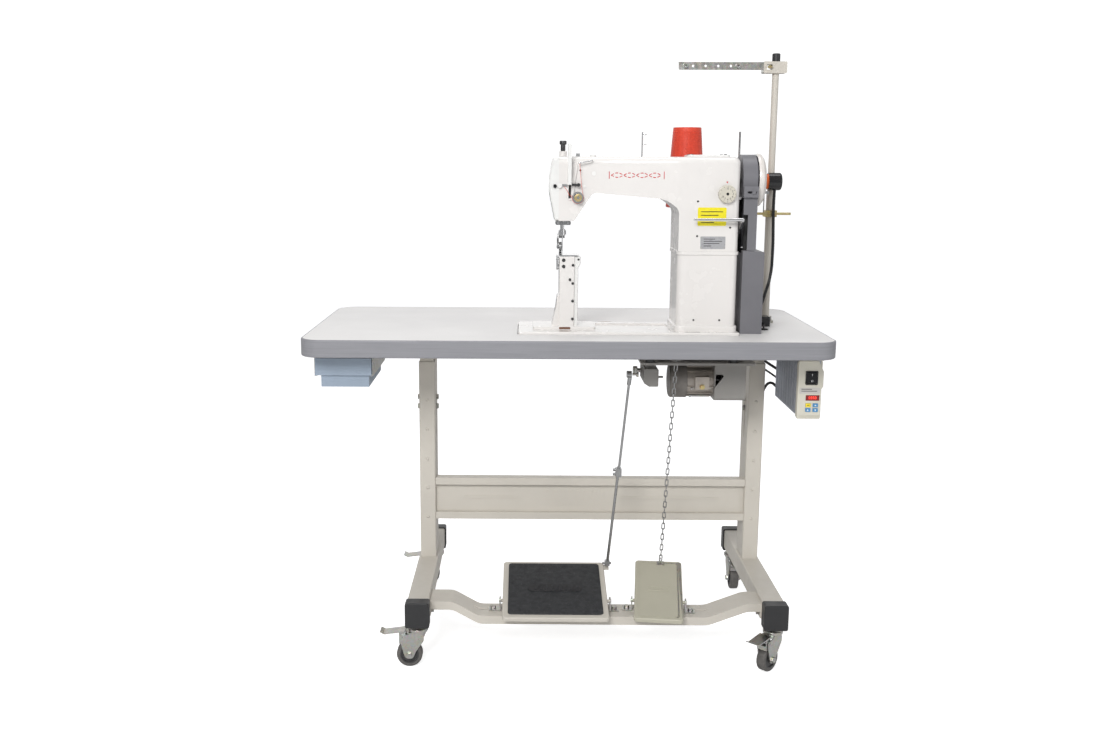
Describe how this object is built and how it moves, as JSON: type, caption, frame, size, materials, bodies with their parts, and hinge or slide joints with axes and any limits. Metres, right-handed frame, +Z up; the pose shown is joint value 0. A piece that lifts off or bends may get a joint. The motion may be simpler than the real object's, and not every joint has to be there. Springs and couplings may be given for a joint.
{
  "type": "post bed sewing machine with table",
  "caption": "Post-bed roller-foot lockstitch sewing machine for leather, on a wheeled T-leg table with treadle, servo motor, drawer, lamp and thread stand.",
  "frame": {"origin": "middle of the whole machine's footprint, on the floor", "axes": "+Z up, +X to the operator's right along the table, +Y away from the operator"},
  "size_m": [1.2, 0.6548, 1.4165],
  "materials": {
    "table_laminate": "satin light-grey laminate",
    "edge_trim": "satin grey plastic edging",
    "stand_paint": "fine cream powder coat",
    "black_plastic": "grained black",
    "zinc": "bright zinc plate",
    "drawer_plastic": "moulded pale blue-grey",
    "motor_case": "cast, bronze-grey paint",
    "steel": "ground",
    "box_aluminium": "extruded, satin",
    "panel_plastic": "moulded cream",
    "rocker_black": "gloss black",
    "key_yellow": "printed membrane key",
    "key_blue": "printed membrane key",
    "enamel": "gloss white enamel",
    "cover_metal": "gloss white enamel and bright steel",
    "guard_plastic": "moulded mid grey",
    "belt_rubber": "cloth-backed",
    "wheel_aluminium": "turned and polished",
    "guide_steel": "bright",
    "knob_black": "knurled black with brass nut",
    "dial_plastic": "printed black",
    "stand_brass": "zinc-yellow plate",
    "thread": "wound polyester thread on a plastic tube",
    "lamp_black": "moulded black with an orange ring",
    "lead_rubber": "cable sheath",
    "mat_rubber": "powder coat with a ribbed rubber mat",
    "tyre_grey": "grey tyre on a black hub"
  },
  "bodies": {
    "machine": {"table_top": "table_laminate", "edge_band": "edge_trim", "stand_legs": "stand_paint", "foot_caps": "black_plastic", "stretcher": "stand_paint", "pedal_beam": "stand_paint", "stand_hardware": "zinc", "under_table_brackets": "stand_paint", "motor": "motor_case", "control_box": "box_aluminium", "control_panel": "panel_plastic", "bed_casting": "enamel", "arm_casting": "enamel", "head_covers": "cover_metal", "post_casting": "enamel", "post_covers": "cover_metal", "belt_guard": "guard_plastic", "belts": "belt_rubber", "thread_guides": "guide_steel", "thread_stand": "stand_brass", "lamp": "lamp_black", "electrical_leads": "lead_rubber"},
    "drive_shaft": {"main_shaft": "steel", "handwheel": "wheel_aluminium"},
    "drawer": {"drawer": "drawer_plastic"},
    "motor_pulley": {"motor_pulley": "steel"},
    "speed_lever": {"speed_lever": "zinc"},
    "power_rocker": {"power_rocker": "rocker_black"},
    "program_key": {"program_key": "key_yellow"},
    "up_key": {"up_key": "key_blue"},
    "shift_key": {"shift_key": "key_blue"},
    "down_key": {"down_key": "key_blue"},
    "lower_shaft": {"lower_shaft": "steel"},
    "hook_shaft": {"hook_shaft": "steel"},
    "needle_bar": {"needle_bar": "steel"},
    "presser_bar": {"presser_bar": "steel"},
    "presser_roller": {"presser_roller": "steel"},
    "feed_wheel": {"feed_wheel": "steel"},
    "take_up_lever": {"take_up_lever": "guide_steel"},
    "tension_knob": {"tension_knob": "knob_black"},
    "pressure_knob": {"pressure_knob": "steel"},
    "stitch_dial": {"stitch_dial": "dial_plastic"},
    "reverse_lever": {"reverse_lever": "steel"},
    "thread_cone": {"thread_cone": "thread"},
    "treadle": {"treadle": "mat_rubber"},
    "pitman_rod": {"pitman_rod": "zinc"},
    "lift_pedal": {"lift_pedal": "stand_paint"},
    "lift_chain": {"lift_chain": "zinc"},
    "caster_front_left_fork": {"caster_front_left_fork": "zinc"},
    "caster_front_left_wheel": {"caster_front_left_wheel": "tyre_grey"},
    "caster_front_left_brake": {"caster_front_left_brake": "zinc"},
    "caster_front_right_fork": {"caster_front_right_fork": "zinc"},
    "caster_front_right_wheel": {"caster_front_right_wheel": "tyre_grey"},
    "caster_front_right_brake": {"caster_front_right_brake": "zinc"},
    "caster_rear_left_fork": {"caster_rear_left_fork": "zinc"},
    "caster_rear_left_wheel": {"caster_rear_left_wheel": "tyre_grey"},
    "caster_rear_left_brake": {"caster_rear_left_brake": "zinc"},
    "caster_rear_right_fork": {"caster_rear_right_fork": "zinc"},
    "caster_rear_right_wheel": {"caster_rear_right_wheel": "tyre_grey"},
    "caster_rear_right_brake": {"caster_rear_right_brake": "zinc"}
  },
  "joints": [
    {"name": "drawer_slide", "type": "slide", "parent": "machine", "child": "drawer", "axis": [0, -1, 0], "range_m": [0, 0.18]},
    {"name": "handwheel_turn", "type": "hinge", "parent": "machine", "child": "drive_shaft", "pos_m": [0.3, -0.08258, 1.12], "axis": [1, 0, 0], "continuous": true},
    {"name": "motor_pulley_turn", "type": "hinge", "parent": "machine", "child": "motor_pulley", "pos_m": [0.38, -0.07258, 0.647], "axis": [1, 0, 0], "continuous": true},
    {"name": "lower_shaft_turn", "type": "hinge", "parent": "machine", "child": "lower_shaft", "pos_m": [0.2, -0.08258, 0.748], "axis": [1, 0, 0], "continuous": true},
    {"name": "hook_shaft_turn", "type": "hinge", "parent": "machine", "child": "hook_shaft", "pos_m": [0.006, -0.08258, 0.85], "axis": [0, 0, 1], "continuous": true},
    {"name": "feed_wheel_turn", "type": "hinge", "parent": "machine", "child": "feed_wheel", "pos_m": [-0.018, -0.08258, 0.9375], "axis": [1, 0, 0], "continuous": true},
    {"name": "roller_turn", "type": "hinge", "parent": "presser_bar", "child": "presser_roller", "pos_m": [-0.015, -0.08258, 0.9648], "axis": [1, 0, 0], "continuous": true},
    {"name": "needle_bar_slide", "type": "slide", "parent": "machine", "child": "needle_bar", "axis": [0, 0, 1], "range_m": [-0.004, 0.02]},
    {"name": "presser_lift", "type": "slide", "parent": "machine", "child": "presser_bar", "axis": [0, 0, 1], "range_m": [0, 0.008]},
    {"name": "take_up_swing", "type": "hinge", "parent": "machine", "child": "take_up_lever", "pos_m": [0.0038, -0.05858, 1.134], "axis": [1, 0, 0], "range_deg": [0, 60]},
    {"name": "tension_adjust", "type": "hinge", "parent": "machine", "child": "tension_knob", "pos_m": [0.022, -0.14758, 1.08], "axis": [0, 1, 0], "range_deg": [-360, 360]},
    {"name": "pressure_adjust", "type": "hinge", "parent": "machine", "child": "pressure_knob", "pos_m": [-0.0105, -0.06458, 1.18], "axis": [0, 0, 1], "range_deg": [-360, 360]},
    {"name": "stitch_length_adjust", "type": "hinge", "parent": "machine", "child": "stitch_dial", "pos_m": [0.357, -0.15958, 1.09], "axis": [0, 1, 0], "range_deg": [-135, 135]},
    {"name": "reverse_press", "type": "hinge", "parent": "machine", "child": "reverse_lever", "pos_m": [0.389, -0.12258, 1.008], "axis": [1, 0, 0], "range_deg": [0, 18], "stiffness_Nm_per_rad": 1.2, "springref_deg": -8.59},
    {"name": "cone_lift", "type": "slide", "parent": "machine", "child": "thread_cone", "axis": [0, 0, 1], "range_m": [0, 0.12]},
    {"name": "treadle_tilt", "type": "hinge", "parent": "machine", "child": "treadle", "pos_m": [-0.022, -0.19758, 0.137], "axis": [1, 0, 0], "range_deg": [-12, 3]},
    {"name": "speed_lever_turn", "type": "hinge", "parent": "machine", "child": "speed_lever", "pos_m": [0.17, -0.03758, 0.664], "axis": [1, 0, 0], "range_deg": [-6.2, 24.4]},
    {"name": "treadle_rod_pivot", "type": "hinge", "parent": "treadle", "child": "pitman_rod", "pos_m": [0.11, -0.06289, 0.18041], "axis": [1, 0, 0], "range_deg": [-3.3, 12.6]},
    {"name": "lift_pedal_tilt", "type": "hinge", "parent": "machine", "child": "lift_pedal", "pos_m": [0.223, -0.19758, 0.137], "axis": [0.9945, -0.1045, 0], "range_deg": [-12, 0], "stiffness_Nm_per_rad": 6, "springref_deg": 31.51},
    {"name": "chain_pull", "type": "slide", "parent": "machine", "child": "lift_chain", "axis": [0.0228, 0.2169, -0.9759], "range_m": [0, 0.0322]},
    {"name": "power_rocker_tilt", "type": "hinge", "parent": "machine", "child": "power_rocker", "pos_m": [0.572, -0.13858, 0.667], "axis": [1, 0, 0], "range_deg": [0, 18]},
    {"name": "program_key_press", "type": "slide", "parent": "machine", "child": "program_key", "axis": [0, 1, 0], "range_m": [0, 0.001], "stiffness_N_per_m": 400, "springref_m": -0.0005},
    {"name": "up_key_press", "type": "slide", "parent": "machine", "child": "up_key", "axis": [0, 1, 0], "range_m": [0, 0.001], "stiffness_N_per_m": 400, "springref_m": -0.0005},
    {"name": "shift_key_press", "type": "slide", "parent": "machine", "child": "shift_key", "axis": [0, 1, 0], "range_m": [0, 0.001], "stiffness_N_per_m": 400, "springref_m": -0.0005},
    {"name": "down_key_press", "type": "slide", "parent": "machine", "child": "down_key", "axis": [0, 1, 0], "range_m": [0, 0.001], "stiffness_N_per_m": 400, "springref_m": -0.0005},
    {"name": "caster_front_left_swivel", "type": "hinge", "parent": "machine", "child": "caster_front_left_fork", "pos_m": [-0.341, -0.25458, 0.085], "axis": [0, 0, 1], "continuous": true},
    {"name": "caster_front_left_roll", "type": "hinge", "parent": "caster_front_left_fork", "child": "caster_front_left_wheel", "pos_m": [-0.361, -0.25458, 0.03], "axis": [0, -1, 0], "continuous": true},
    {"name": "caster_front_left_brake_press", "type": "hinge", "parent": "caster_front_left_fork", "child": "caster_front_left_brake", "pos_m": [-0.375, -0.25458, 0.072], "axis": [0, -1, 0], "range_deg": [0, 10]},
    {"name": "caster_front_right_swivel", "type": "hinge", "parent": "machine", "child": "caster_front_right_fork", "pos_m": [0.483, -0.25458, 0.085], "axis": [0, 0, 1], "continuous": true},
    {"name": "caster_front_right_roll", "type": "hinge", "parent": "caster_front_right_fork", "child": "caster_front_right_wheel", "pos_m": [0.46886, -0.26872, 0.03], "axis": [0.7071, -0.7071, 0], "continuous": true},
    {"name": "caster_front_right_brake_press", "type": "hinge", "parent": "caster_front_right_fork", "child": "caster_front_right_brake", "pos_m": [0.45896, -0.27862, 0.072], "axis": [0.7071, -0.7071, 0], "range_deg": [0, 10]},
    {"name": "caster_rear_left_swivel", "type": "hinge", "parent": "machine", "child": "caster_rear_left_fork", "pos_m": [-0.341, 0.26742, 0.085], "axis": [0, 0, 1], "continuous": true},
    {"name": "caster_rear_left_roll", "type": "hinge", "parent": "caster_rear_left_fork", "child": "caster_rear_left_wheel", "pos_m": [-0.361, 0.26742, 0.03], "axis": [0, -1, 0], "continuous": true},
    {"name": "caster_rear_left_brake_press", "type": "hinge", "parent": "caster_rear_left_fork", "child": "caster_rear_left_brake", "pos_m": [-0.375, 0.26742, 0.072], "axis": [0, -1, 0], "range_deg": [0, 10]},
    {"name": "caster_rear_right_swivel", "type": "hinge", "parent": "machine", "child": "caster_rear_right_fork", "pos_m": [0.483, 0.26742, 0.085], "axis": [0, 0, 1], "continuous": true},
    {"name": "caster_rear_right_roll", "type": "hinge", "parent": "caster_rear_right_fork", "child": "caster_rear_right_wheel", "pos_m": [0.483, 0.24742, 0.03], "axis": [1, 0, 0], "continuous": true},
    {"name": "caster_rear_right_brake_press", "type": "hinge", "parent": "caster_rear_right_fork", "child": "caster_rear_right_brake", "pos_m": [0.483, 0.23342, 0.072], "axis": [1, 0, 0], "range_deg": [0, 10]}
  ],
  "couplings": [
    {"joint": "motor_pulley_turn", "follows": "handwheel_turn", "ratio": 1.5},
    {"joint": "lower_shaft_turn", "follows": "handwheel_turn", "ratio": 1},
    {"joint": "hook_shaft_turn", "follows": "handwheel_turn", "ratio": -2},
    {"joint": "feed_wheel_turn", "follows": "handwheel_turn", "ratio": -0.05},
    {"joint": "presser_lift", "follows": "lift_pedal_tilt", "m_per_rad": -0.03815},
    {"joint": "chain_pull", "follows": "lift_pedal_tilt", "m_per_rad": -0.15345},
    {"joint": "speed_lever_turn", "follows": "treadle_tilt", "ratio": -2.015},
    {"joint": "treadle_rod_pivot", "follows": "treadle_tilt", "ratio": -1.03}
  ]
}
